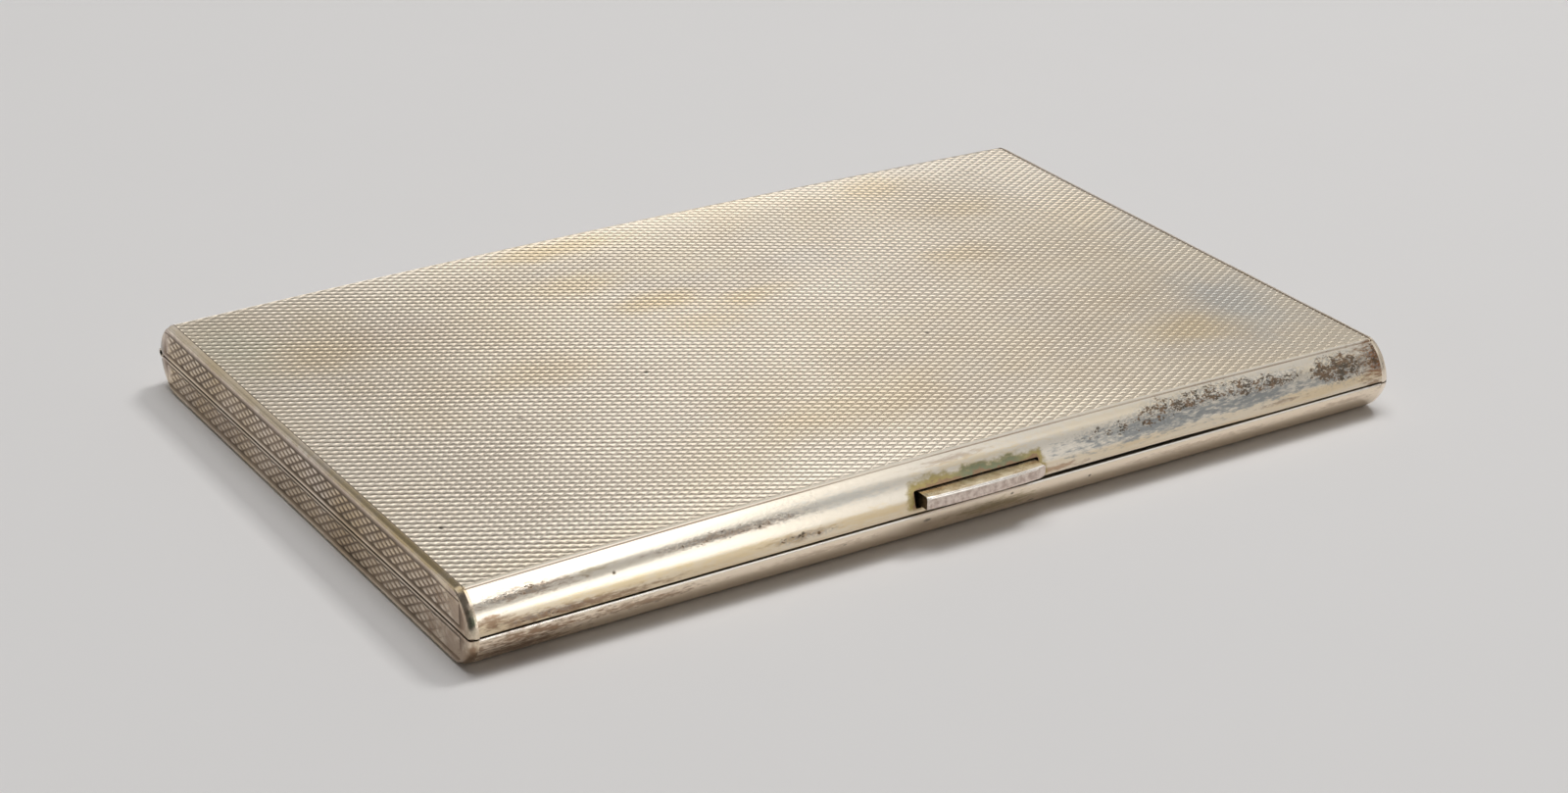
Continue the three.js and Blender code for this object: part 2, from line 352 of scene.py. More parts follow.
def ramp(tree, value, start, stop, low=0.0, high=1.0):
    inputs = {"Value": value, "From Min": start, "From Max": stop, "To Min": low, "To Max": high}
    return node(tree, "ShaderNodeMapRange", inputs, interpolation_type="SMOOTHSTEP").outputs["Result"]


def mixColour(tree, factor, first, second):
    inputs = {"Fac": factor, "Color1": first, "Color2": second}
    return node(tree, "ShaderNodeMixRGB", inputs).outputs["Color"]


def objectPlace(tree):
    return tree.nodes.new("ShaderNodeTexCoord").outputs["Object"]


def noise(tree, scale, detail=3.0, rough=0.55, stretch=(1, 1, 1), place=None):
    mapped = node(tree, "ShaderNodeMapping", {"Vector": place or objectPlace(tree), "Scale": stretch})
    inputs = {"Vector": mapped.outputs["Vector"], "Scale": scale, "Detail": detail, "Roughness": rough}
    return node(tree, "ShaderNodeTexNoise", inputs).outputs["Fac"]


def cloudy(tree, scale, stretch=(1, 1, 1)):
    return ramp(tree, noise(tree, scale, 4.0, 0.6, stretch), 0.35, 0.7)


def objectAxes(tree):
    return node(tree, "ShaderNodeSeparateXYZ", {"Vector": objectPlace(tree)}).outputs


def grooveOf(tree):
    return node(tree, "ShaderNodeAttribute", attribute_name="groove").outputs["Fac"]


def startGroup(name, inputs, outputs):
    group = bpy.data.node_groups.new(name, "ShaderNodeTree")
    kinds = {"value": "NodeSocketFloat", "vector": "NodeSocketVector", "colour": "NodeSocketColor"}
    for title, kind in inputs.items():
        group.interface.new_socket(title, in_out="INPUT", socket_type=kinds[kind])
    for title, kind in outputs.items():
        group.interface.new_socket(title, in_out="OUTPUT", socket_type=kinds[kind])
    return group, group.nodes.new("NodeGroupInput").outputs, group.nodes.new("NodeGroupOutput").inputs


def useGroup(tree, group, **inputs):
    made = tree.nodes.new("ShaderNodeGroup")
    made.node_tree = group
    for title, value in inputs.items():
        feed(tree, made.inputs[title], value)
    return made.outputs


def startMaterial(name, **constants):
    material = bpy.data.materials.new(name)
    material.use_nodes = True
    shader = material.node_tree.nodes["Principled BSDF"]
    for title, value in constants.items():
        feed(material.node_tree, shader.inputs[title], value)
    return material, material.node_tree, shader.inputs


def setBump(tree, sockets, *layers):  # each layer: height, strength, distance
    normal = None
    for height, strength, distance in layers:
        inputs = {"Height": height, "Strength": strength, "Distance": distance}
        if normal:
            inputs["Normal"] = normal
        normal = node(tree, "ShaderNodeBump", inputs).outputs["Normal"]
    feed(tree, sockets["Normal"], normal)


# Shared effects

def makePatchGroup():  # one ragged soft-edged stain at a place on the piece
    group, given, out = startGroup(
        "ragged patch",
        {"Centre": "vector", "Size": "vector", "Along": "vector", "Softness": "value", "Ragged": "value",
         "Scale": "value"},
        {"Mask": "value"})
    away = vectorMaths(group, "SUBTRACT", objectPlace(group), given["Centre"])
    reach = vectorMaths(group, "LENGTH", vectorMaths(group, "DIVIDE", away, given["Size"]))
    torn = minus(group, noise(group, given["Scale"], 4.0, 0.6, given["Along"]), 0.5)
    edge = plus(group, reach, times(group, torn, given["Ragged"]))
    inside = minus(group, 1.0, given["Softness"])
    feed(group, out["Mask"], ramp(group, edge, 1.0, inside))
    return group


def makePitGroup():  # small corroded pits, thick where Where is high
    group, given, out = startGroup(
        "corroded pits", {"Where": "value", "Scale": "value", "Along": "vector"},
        {"Mask": "value", "Height": "value"})
    fine = noise(group, given["Scale"], 4.0, 0.65, given["Along"])
    coarse = noise(group, times(group, given["Scale"], 0.3), 3.0, 0.6, given["Along"])
    both = times(group, plus(group, fine, coarse), 0.5)
    start = minus(group, 0.63, times(group, given["Where"], 0.16))
    mask = ramp(group, minus(group, both, start), 0.0, 0.06)
    mask = times(group, mask, ramp(group, given["Where"], 0.0, 0.2))
    feed(group, out["Mask"], mask)
    feed(group, out["Height"], minus(group, 1.0, mask))
    return group


def makeStreakGroup():  # rubbed streaks that run along the piece
    group, given, out = startGroup(
        "long streaks", {"Scale": "value", "Along": "vector", "Low": "value", "High": "value"},
        {"Mask": "value"})
    grain = noise(group, given["Scale"], 4.0, 0.65, given["Along"])
    feed(group, out["Mask"], ramp(group, grain, given["Low"], given["High"]))
    return group


def makeGrooveGroup():  # dirt left in the turned grooves and engraved lines, and painted shade in the seams
    group, given, out = startGroup(
        "groove dirt", {"Colour": "colour", "Dirt": "colour", "Amount": "value"},
        {"Colour": "colour", "Mask": "value"})
    uneven = ramp(group, noise(group, 90.0, 4.0), 0.25, 0.75, 0.55, 1.0)
    depth = maths(group, "POWER", grooveOf(group), 1.6)
    mask = times(group, times(group, depth, uneven), given["Amount"], True)
    feed(group, out["Colour"], mixColour(group, mask, given["Colour"], given["Dirt"]))
    feed(group, out["Mask"], mask)
    return group


def makeScuffGroup():  # hairline handling marks, as height
    group, given, out = startGroup("hairline scuffs", {"Scale": "value"}, {"Height": "value"})
    first = noise(group, given["Scale"], 2.0, 0.5, (0.06, 1.0, 1.0))
    turned = node(group, "ShaderNodeMapping", {
        "Vector": objectPlace(group), "Rotation": (0.4, 0.3, 0.7), "Scale": (1.0, 0.05, 1.0)})
    second = noise(group, given["Scale"], 2.0, 0.5, place=turned.outputs["Vector"])
    feed(group, out["Height"], times(group, plus(group, first, second), 0.5))
    return group


patchGroup = makePatchGroup()
pitGroup = makePitGroup()
streakGroup = makeStreakGroup()
grooveGroup = makeGrooveGroup()
scuffGroup = makeScuffGroup()


def layPatches(tree, colour, patches, along=(1, 1, 1), scale=160.0, ragged=1.1, soft=0.75):
    for tone, x, y, z, wide, deep, tall, strength in patches:
        mask = useGroup(
            tree, patchGroup, Centre=(x * mm, y * mm, z * mm), Size=(wide * mm, deep * mm, tall * mm),
            Along=along, Softness=soft, Ragged=ragged, Scale=scale)["Mask"]
        amount = times(tree, mask, strength)
        colour = mixColour(tree, amount, colour, tone)
    return colour


# Tarnish on the lid's turned face: tone, centre x y z, reach x y z in mm, strength
lidPatches = [
    ("gold", -12, 35, 9.5, 14, 4, 9, 0.55),
    ("straw", -15, 23.6, 9.5, 10, 5, 9, 0.6),
    ("gold", -8.5, 14, 9.5, 9, 4.5, 9, 0.55),
    ("gold", 1.5, 9.4, 9.5, 8, 4, 9, 0.45),
    ("straw", -7, 5.7, 9.5, 9, 5, 9, 0.5),
    ("straw", -31, 2.7, 9.5, 12, 7, 9, 0.5),
    ("gold", -48, 21, 9.5, 16, 8, 9, 0.35),
    ("straw", 36.5, 33, 9.5, 9, 5, 9, 0.6),
    ("straw", 45, 22, 9.5, 10, 6, 9, 0.55),
    ("gold", 34, 8, 9.5, 9, 5, 9, 0.3),
    ("gold", 46, -25, 9.5, 12, 7, 9, 0.5),
    ("gold", -5, -25, 9.5, 18, 8, 9, 0.3),
    ("gold", -48, -37, 9.5, 24, 4, 9, 0.2),
    ("violet", -41, 22, 9.5, 12, 8, 9, 0.25),
    ("moss", -59, 27, 9.5, 7, 12, 9, 0.45),
    ("steelBlue", 55, -23, 9.5, 9, 14, 9, 0.6),
]
lidNicks = [
    ("soot", -20.3, -3.5, 9.9, 0.5, 0.5, 3, 0.9),
    ("soot", -39, -6.8, 9.7, 0.5, 0.4, 3, 0.8),
    ("soot", -58.7, -26, 9.4, 0.4, 0.7, 3, 0.8),
    ("soot", 15.2, -10.8, 9.9, 0.5, 0.4, 3, 0.8),
]

turnedFinish = {"clouds": 28.0, "haze": 45.0, "hazeShare": 0.45, "silverShare": 0.55, "dirtAndShade": 0.5,
                "rough": 0.2, "dirtRough": 0.3, "tooth": 5200.0}


def makeTurnedSilver(name, patches, nicks):
    material, tree, sockets = startMaterial(name, Metallic=1.0)
    clouds = cloudy(tree, turnedFinish["clouds"])
    colour = mixColour(tree, clouds, "silver", "straw")
    colour = mixColour(tree, turnedFinish["silverShare"], colour, "silver")
    haze = ramp(tree, noise(tree, turnedFinish["haze"], 5.0, 0.6, (0.6, 1, 1)), 0.5, 0.75)
    colour = mixColour(tree, times(tree, haze, turnedFinish["hazeShare"]), colour, "ash")
    colour = layPatches(tree, colour, patches, soft=0.95)
    dirtyAndShaded = useGroup(tree, grooveGroup, Colour=colour, Dirt="brown", Amount=turnedFinish["dirtAndShade"])
    feed(tree, sockets["Base Color"], layPatches(tree, dirtyAndShaded["Colour"], nicks))
    rough = plus(tree, times(tree, dirtyAndShaded["Mask"], turnedFinish["dirtRough"]), turnedFinish["rough"])
    feed(tree, sockets["Roughness"], rough)
    setBump(tree, sockets, (noise(tree, turnedFinish["tooth"], 2.0), 0.12, 0.01 * mm))
    return material


# Stains on the front band, with two patches of painted shade on the base wall: tone, x and height at the
# case's ends, reach along and up in mm, strength
bandStainsAndShade = [
    ("umber", -61, 5.9, 3, 0.8, 0.9),
    ("umber", -56, 7.7, 8, 0.7, 0.65),
    ("umber", -55, 5.2, 9, 0.7, 0.9),
    ("umber", -48, 5.1, 12, 0.6, 0.8),
    ("umber", -31, 7.55, 12, 0.5, 0.6),
    ("umber", -23, 5.6, 6, 0.6, 0.7),
    ("olive", -48.5, 7.8, 3.5, 0.4, 0.35),
    ("gold", -46, 5.9, 12, 0.7, 0.5),
    ("gold", -30, 5.6, 10, 0.8, 0.45),
    ("gold", -14, 5.6, 8, 1.0, 0.5),
    ("steelBlue", -17, 7.7, 10, 0.9, 0.4),
    ("gold", 1, 8.0, 11, 0.5, 0.4),
    ("umber", -1.5, 8.5, 6, 0.3, 0.5),
    ("rust", 12.5, 5.2, 4, 0.5, 0.6),
    ("straw", 22, 8.4, 28, 0.7, 0.4),
    ("straw", 55, 8.0, 10, 1.2, 0.4),
    ("slate", 27, 6.7, 18, 1.5, 1.0),
    ("slate", 42, 6.7, 11, 1.3, 0.95),
    ("slate", 54, 6.6, 7, 0.8, 0.6),
    ("umber", 46.5, 5.5, 5, 0.3, 0.6),
    ("umber", 62.4, 7.4, 5, 4.2, 1.0),
    ("rust", 62.2, 7.2, 2.4, 1.7, 0.95),
    ("umber", -56, 3.3, 10, 1.2, 0.95),
    ("umber", -43, 3.2, 10, 0.8, 0.8),
    ("umber", -20, 3.2, 10, 0.5, 0.4),
    # painted shade: a painted reflection of the contact shadow on the base wall's lower left
    ("umber", -57, 1.6, 9, 1.3, 0.9),
    # painted shade under the thumbpiece
    ("olive", 4, 2.6, 9, 1.2, 0.5),
    ("umber", 33, 3.2, 14, 0.5, 0.35),
    ("umber", 56, 3.3, 6, 0.4, 0.4),
]
# Small knocks and scratches: tone, x and height, reach along and up in mm, strength
bandNicks = [
    ("soot", -46, 7.07, 0.35, 0.25, 0.95),
    ("soot", -22.6, 5.82, 0.3, 0.25, 0.9),
    ("soot", -5.9, 3.3, 0.7, 0.3, 0.6),
    ("soot", -17, 3.1, 0.4, 0.2, 0.5),
    ("soot", 5.8, 3.7, 0.3, 0.25, 0.9),
    ("soot", 9.4, 1.4, 0.6, 0.4, 0.6),
    ("soot", 17.2, 3.0, 0.3, 0.25, 0.8),
    ("soot", 18.8, 7.75, 0.35, 0.25, 0.8),
]
# Where that band is pitted: x and height, reach along and up in mm, strength
bandPits = [
    (-58, 7.8, 7, 0.7, 0.6),
    (-31, 7.6, 14, 0.7, 0.55),
    (-55, 5.2, 8, 0.5, 0.5),
    (-22.5, 5.5, 6, 0.6, 0.6),
    (24, 7.3, 12, 1.3, 0.75),
    (34, 8.0, 16, 1.3, 1.0),
    (44, 7.8, 10, 1.2, 1.05),
    (56, 7.3, 7, 2.4, 1.2),
    (61.8, 7.5, 3.0, 2.2, 1.0),
]


def bandPoint(x, height):  # the place in mm on the front band, with the lid's crown
    up = height * mm - seamZ
    half = lidHalf if up > 0 else baseHalf
    part = min(1.0, abs(up) / half["height"])
    past = (1 - part ** caseShape["fullness"]) ** (1 / caseShape["fullness"])
    y = -(flatHalf + edgeDepth * past)
    share = min(1.0, max(0.0, up) / (lidHalf["height"] - caseShape["sheet"]))
    bow = max(0.0, 1 - (x * mm / shellHalf) ** 2)
    return x, y / mm, height + caseShape["crown"] * bow * share / mm


def onBand(rows, deep):  # rows of marks on the band, as patches
    return [(tone, *bandPoint(x, height), wide, deep, tall, strength)
            for tone, x, height, wide, tall, strength in rows]


grimeShape = {  # each layer: tone, reach in mm, strength
    "layers": (("olive", 1.3, 0.9), ("verdigris", 1.0, 0.85), ("umber", 0.3, 0.9)),
    "full": 0.35,  # share of the reach that is wholly dirty
    "ragged": 2.4 * mm,
    "grain": 900.0,
    "front": (-36 * mm, -37 * mm),  # only on the front wall
    "foot": (4.8 * mm, 5.4 * mm),  # and clear of the seam
    "greenX": 3 * mm,  # the green lies round here
    "greenReach": (6.5 * mm, 3 * mm),
}


def pastSpan(tree, axis, low, high):  # distance outside a span, none inside
    away = apart(tree, axis, (low + high) / 2)
    return maths(tree, "MAXIMUM", minus(tree, away, (high - low) / 2), 0.0)


def windowGrime(tree, axes, colour):  # green and brown dirt close round the thumbpiece's window
    low, high = windowBox()
    aside = pastSpan(tree, axes["X"], low[0], high[0])
    above = pastSpan(tree, axes["Z"], low[2], high[2])
    away = maths(tree, "SQRT", plus(tree, times(tree, aside, aside), times(tree, above, above)))
    torn = minus(tree, noise(tree, grimeShape["grain"], 5.0, 0.65, (0.6, 1, 1)), 0.5)
    away = plus(tree, away, times(tree, torn, grimeShape["ragged"]))
    front = ramp(tree, axes["Y"], *grimeShape["front"])
    front = times(tree, front, ramp(tree, axes["Z"], *grimeShape["foot"]))
    green = ramp(tree, apart(tree, axes["X"], grimeShape["greenX"]), *grimeShape["greenReach"])
    for tone, reach, strength in grimeShape["layers"]:
        mask = ramp(tree, away, reach * mm, reach * grimeShape["full"] * mm, 0.0, strength)
        mask = times(tree, mask, front)
        if tone == "verdigris":
            mask = times(tree, mask, green)
        colour = mixColour(tree, mask, colour, tone)
    return colour


bandFinish = {
    "dull": (6.6 * mm, 6.0 * mm),  # down between these heights the lid turns matt and tan
    "lip": (4.42 * mm, 4.36 * mm),  # the base's top edge, where a highlight is painted
    "below": (4.19 * mm, 4.12 * mm),  # and its matt wall
    "satin": (-38 * mm, -14 * mm),  # rubbed dull round the thumbpiece and to its right
    "along": (0.25, 1, 1),  # stains drawn out along the band
    "stretch": (0.6, 1, 1),
    "rough": 0.19,
    "mattRough": 0.16,
    "satinRough": 0.1,
    "pitRough": 0.35,
    "stainGrain": 3200.0,
    "nickGrain": 2500.0,
    "pitGrain": 5200.0,
    "mottleGrain": 3800.0,
    "scuffGrain": 2600.0,
    "dentGrain": 140.0,
    # strength of the black painted shade in the seam and the brown dirt in the engraved line
    "seamShade": 1.6,
}


def bandWhere(tree):  # how thickly the band is pitted
    where = None
    for x, height, wide, tall, strength in bandPits:
        centre = [part * mm for part in bandPoint(x, height)]
        zone = useGroup(tree, patchGroup, Centre=centre, Size=(wide * mm, 4 * mm, tall * mm),
                        Along=(1, 1, 1), Softness=0.7, Ragged=0.8, Scale=500.0)["Mask"]
        zone = times(tree, zone, strength)
        where = maths(tree, "MAXIMUM", where, zone) if where else zone
    return where


def bandTones(tree, zones):  # tan down the lid, a painted highlight along the base's lip and a paler base wall
    cloud = times(tree, cloudy(tree, 60.0, (0.4, 1, 1)), 0.4)
    colour = mixColour(tree, cloud, "silver", "ash")
    rubbed = useGroup(tree, streakGroup, Scale=900.0, Along=(0.06, 1, 1), Low=0.35, High=0.65)["Mask"]
    rubbed = plus(tree, times(tree, rubbed, 0.5), 0.35)
    colour = mixColour(tree, times(tree, rubbed, zones["dull"]), colour, "tan")
    # painted highlight along the base's top edge
    colour = mixColour(tree, zones["lip"], colour, "lipHighlight")
    faint = minus(tree, 0.95, times(tree, rubbed, 0.25))
    return mixColour(tree, times(tree, zones["below"], faint), colour, "blush")


def pitTones(tree, colour, where, pits):  # grey mottling with brown and black pits
    mottle = ramp(tree, noise(tree, bandFinish["mottleGrain"], 2.0, 0.5, (0.7, 1, 1)), 0.42, 0.58)
    colour = mixColour(tree, times(tree, times(tree, mottle, where), 0.65), colour, "slate")
    pitTone = mixColour(tree, ramp(tree, noise(tree, 900.0), 0.4, 0.65), "bistre", "soot")
    return mixColour(tree, times(tree, pits["Mask"], 0.85), colour, pitTone)


def bandRough(tree, zones, satin, pits):
    rough = times(tree, minus(tree, zones["dull"], zones["lip"]), bandFinish["mattRough"])
    rubbed = times(tree, plus(tree, satin, zones["below"]), bandFinish["satinRough"])
    rough = plus(tree, plus(tree, rough, rubbed), times(tree, pits["Mask"], bandFinish["pitRough"]))
    return plus(tree, rough, bandFinish["rough"])


def bandRelief(tree, sockets, where, satin, pits):  # soft dents, peening, then pits and scuffs
    stretch = bandFinish["stretch"]
    dents = noise(tree, bandFinish["dentGrain"], 2.0, 0.5, stretch)
    peening = plus(tree, where, plus(tree, times(tree, satin, 0.35), 0.1))
    peened = times(tree, noise(tree, bandFinish["scuffGrain"], 2.0, 0.5, stretch), peening)
    scuffs = useGroup(tree, scuffGroup, Scale=bandFinish["scuffGrain"])["Height"]
    fine = plus(tree, times(tree, scuffs, 0.5), pits["Height"])
    setBump(tree, sockets, (dents, 0.5, 0.06 * mm), (peened, 0.7, 0.05 * mm), (fine, 0.3, 0.02 * mm))


def makeBandSilver():
    material, tree, sockets = startMaterial("worn band silver", Metallic=1.0)
    axes = objectAxes(tree)
    zones = {zone: ramp(tree, axes["Z"], *bandFinish[zone]) for zone in ("dull", "lip", "below")}
    satin = minus(tree, ramp(tree, axes["X"], *bandFinish["satin"]), zones["below"], True)
    where = bandWhere(tree)
    pits = useGroup(tree, pitGroup, Where=where, Scale=bandFinish["pitGrain"],
                    Along=bandFinish["stretch"])
    colour = bandTones(tree, zones)
    colour = layPatches(tree, colour, onBand(bandStainsAndShade, 4), bandFinish["along"],
                        bandFinish["stainGrain"], 2.8, 0.9)
    colour = windowGrime(tree, axes, colour)
    colour = pitTones(tree, colour, where, pits)
    colour = layPatches(tree, colour, onBand(bandNicks, 2), scale=bandFinish["nickGrain"])
    deep = ramp(tree, grooveOf(tree), 0.65, 0.85)  # brown dirt in the engraved line, black painted shade in the seam
    lineDirtAndSeamShade = mixColour(tree, deep, "brown", "seamShadeBlack")
    dirtyAndShaded = useGroup(tree, grooveGroup, Colour=colour, Dirt=lineDirtAndSeamShade, Amount=bandFinish["seamShade"])
    feed(tree, sockets["Base Color"], dirtyAndShaded["Colour"])
    feed(tree, sockets["Roughness"], bandRough(tree, zones, satin, pits))
    bandRelief(tree, sockets, where, satin, pits)
    return material


# Stains on the end plates: tone, centre x y z, reach x y z in mm, strength
endStains = [
    ("umber", -63.4, -38.5, 6.2, 2, 8, 3.0, 0.7),
    ("umber", -63.4, -38.5, 2.2, 2, 12, 2.6, 0.7),
    ("mauve", -63.4, 0, 8.5, 2, 60, 0.5, 0.7),
    ("mauve", -63.4, 40.5, 5, 2, 3, 6, 0.85),
    ("slate", -63.1, 41.5, 5, 1.2, 1.4, 5, 0.8),
    ("verdigris", -63, -41.5, 6.8, 0.9, 1.2, 3.0, 0.95),
    ("umber", -63, -41.3, 2.6, 0.9, 1.2, 1.6, 0.7),
    ("gold", -63.1, -28, 9.1, 0.8, 22, 0.5, 0.8),
    ("straw", -63.1, 15, 9.1, 0.8, 40, 0.5, 0.6),
]


def makeEndSilver():  # bright crests, partly worn metal and partly painted highlight, tarnish left in the grooves
    material, tree, sockets = startMaterial("turned end silver", Metallic=1.0)
    colour = mixColour(tree, cloudy(tree, 70.0), "cream", "tan")
    stain = ramp(tree, noise(tree, 110.0, 4.0, 0.65, (1, 0.5, 1)), 0.48, 0.72)
    colour = mixColour(tree, times(tree, stain, 0.35), colour, "umber")
    colour = layPatches(tree, colour, endStains, (1, 1, 0.6), 700.0, 2.0)
    # darker flanks hold tarnish and leave each crest as a painted lens-shaped highlight
    flanks = ramp(tree, grooveOf(tree), 0.15, 0.7, 0.0, 0.7)
    colour = mixColour(tree, flanks, colour, "umber")
    # dirt in the grooves and lines, painted shade in the seam and along the short sides
    dirtyAndShaded = useGroup(tree, grooveGroup, Colour=colour, Dirt="soot", Amount=1.0)
    feed(tree, sockets["Base Color"], dirtyAndShaded["Colour"])
    feed(tree, sockets["Roughness"], plus(tree, times(tree, dirtyAndShaded["Mask"], 0.3), 0.24))
    scuffs = useGroup(tree, scuffGroup, Scale=bandFinish["scuffGrain"])["Height"]
    setBump(tree, sockets, (scuffs, 0.2, 0.02 * mm))
    return material


def makePlainMetal(name, light, dark, rough, scale=300.0):
    material, tree, sockets = startMaterial(name, Metallic=1.0)
    feed(tree, sockets["Base Color"], mixColour(tree, cloudy(tree, scale), light, dark))
    scuffs = useGroup(tree, scuffGroup, Scale=3000.0)["Height"]
    feed(tree, sockets["Roughness"], ramp(tree, scuffs, 0.3, 0.7, rough - 0.05, rough + 0.1))
    setBump(tree, sockets, (scuffs, 0.15, 0.02 * mm))
    return material


giltLook = ((0.80, 0.58, 0.27), (0.68, 0.46, 0.19), 0.32, 120.0)  # light, dark, roughness, scale
bezelShade = {
    "above": 0.2 * mm,  # middle of the painted shade, over the seam
    "reach": (0.55 * mm, 0.35 * mm),
    "skin": (0.2 * mm, 0.1 * mm),  # only on the outer faces
    "rough": (0.34, 0.8),
}


def makeBezelGilt():  # gilt, with painted shade behind the seam
    material = makePlainMetal("shaded bezel gilt", *giltLook)
    tree = material.node_tree
    sockets = tree.nodes["Principled BSDF"].inputs
    axes = objectAxes(tree)
    front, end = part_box("front_bezel")[0].y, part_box("right_bezel")[1].x
    start, stop = bezelShade["skin"]
    outward = ramp(tree, axes["Y"], front + start, front + stop)
    endward = ramp(tree, maths(tree, "ABSOLUTE", axes["X"]), end - start, end - stop)
    bySeam = ramp(tree, apart(tree, axes["Z"], seamZ + bezelShade["above"]), *bezelShade["reach"])
    # painted shade on the bezel's outer faces, seen through the seam
    dirtAndShade = times(tree, bySeam, maths(tree, "MAXIMUM", outward, endward))
    clean = sockets["Base Color"].links[0].from_socket
    feed(tree, sockets["Base Color"], mixColour(tree, dirtAndShade, clean, "seamShadeBlack"))
    feed(tree, sockets["Roughness"], ramp(tree, dirtAndShade, 0.0, 1.0, *bezelShade["rough"]))
    return material


elasticTones = {"dark": (0.05, 0.032, 0.02), "light": (0.11, 0.075, 0.05), "thread": (0.2, 0.15, 0.1)}


def makeElastic():
    material, tree, sockets = startMaterial("woven elastic", Roughness=0.85)
    colour = mixColour(tree, noise(tree, 400.0, 4.0), elasticTones["dark"], elasticTones["light"])
    weave = node(tree, "ShaderNodeTexWave", {"Vector": objectPlace(tree), "Scale": 700.0},
                 bands_direction="X")
    threads = weave.outputs["Fac"]
    colour = mixColour(tree, times(tree, threads, 0.4), colour, elasticTones["thread"])
    feed(tree, sockets["Base Color"], colour)
    setBump(tree, sockets, (threads, 0.6, 0.1 * mm))
    return material


turnedLid = makeTurnedSilver("turned lid silver", lidPatches, lidNicks)
turnedBase = makeTurnedSilver("turned base silver", [], [])
bandSilver = makeBandSilver()
endSilver = makeEndSilver()
gilt = makePlainMetal("satin gilt", *giltLook)
bezelGilt = makeBezelGilt()
hingeSilver = makePlainMetal("worn hinge silver", (0.78, 0.70, 0.58), (0.55, 0.46, 0.36), 0.3)
pinSteel = makePlainMetal("drawn pin steel", (0.42, 0.41, 0.40), (0.3, 0.28, 0.26), 0.35)
springBrass = makePlainMetal("rolled spring brass", (0.66, 0.50, 0.24), (0.50, 0.36, 0.16), 0.34)
thumbSilver = makePlainMetal("rubbed thumb silver", (0.80, 0.69, 0.61), (0.52, 0.41, 0.35), 0.3, 1600.0)
# browned gilt for the top faces, whose tone also paints their shading
thumbGilt = makePlainMetal("browned and shaded thumb top", (0.93, 0.80, 0.57), (0.66, 0.51, 0.31), 0.3, 900.0)
# painted shade, with some grime, for the thumbpiece's left end face
thumbShadedEnd = makePlainMetal("grimy and shaded thumb end", (0.20, 0.14, 0.08), (0.07, 0.05, 0.03), 0.5, 900.0)
# painted highlight for the thumbpiece's front top edge
thumbHighlight = makePlainMetal("painted highlight thumb edge", (0.95, 0.90, 0.83), (0.86, 0.79, 0.70), 0.2, 900.0)
elastic = makeElastic()
print("materials made")


# The turned grain

def makeGrain():
    deselectAll()
    bpy.ops.mesh.primitive_grid_add(x_subdivisions=4, y_subdivisions=2, size=2)
    grain = bpy.context.object
    for vert in grain.data.vertices:
        along, across = vert.co.x, vert.co.y
        lens = (1 + math.cos(math.pi * along)) / 2
        onCrest = abs(across) < 0.5 and abs(along) < 0.9
        crest = grainShape["height"] * (1 if abs(along) < 0.25 else grainShape["shoulder"])
        vert.co.x = along * grainShape["pitch"] / 2
        vert.co.y = across * lens * grainShape["row"]
        vert.co.z = crest if onCrest else 0
    edit(grain)
    weld()
    faceOutward()
    pick(grain, "edges", lambda e: all(v.co.z < grainShape["height"] / 10 for v in e.verts))
    bpy.ops.mesh.mark_sharp()  # grooves stay crisp, crests stay soft
    bpy.ops.mesh.select_all(action="SELECT")
    shift = (grainShape["pitch"] / 2, grainShape["row"], 0)
    bpy.ops.mesh.duplicate_move(TRANSFORM_OT_translate={"value": shift})
    leaveEdit()
    return grain


grainPair = makeGrain()


def grainField(name, halfX, halfY, wear):
    field = copyOf(grainPair, name)
    across = 2 * math.ceil(halfX / grainShape["pitch"]) + 3
    deep = 2 * math.ceil(halfY / (2 * grainShape["row"])) + 3
    steps = ((across, (grainShape["pitch"], 0, 0)), (deep, (0, 2 * grainShape["row"], 0)))
    for number, (count, step) in enumerate(steps):
        applyModifier(field, f"row{number}", "ARRAY", count=count, use_relative_offset=False,
                      use_constant_offset=True, constant_offset_displace=step)
    startX = -(across - 1) * grainShape["pitch"] / 2
    startY = -(deep - 1) * grainShape["row"]
    edit(field)
    bpy.ops.transform.translate(value=(startX, startY, 0))
    for sign in (1, -1):
        cutAll((sign * halfX, 0, 0), (sign, 0, 0), clear_outer=True)
    for sign in (1, -1):
        cutAll((0, sign * halfY, 0), (0, sign, 0), clear_outer=True)
    weld()
    leaveEdit()
    full = grainShape["height"]
    depths = []
    for vert in field.data.vertices:
        cut = (full - vert.co.z) * wear(vert.co.x, vert.co.y)
        vert.co.z = full - cut
        depths.append(cut / full)
    groove = field.data.attributes.new("groove", "FLOAT", "POINT")
    groove.data.foreach_set("value", depths)
    return field


# Turned bands on the ends: lines below and above them, and how they run out
endLines = {"lid": (5.1 * mm, 8.08 * mm), "base": (1.16 * mm, 3.86 * mm)}
endFade = {"lid": 6 * mm, "base": 12 * mm, "back": 1.5 * mm}


# The half case outline, which shells and end plates share

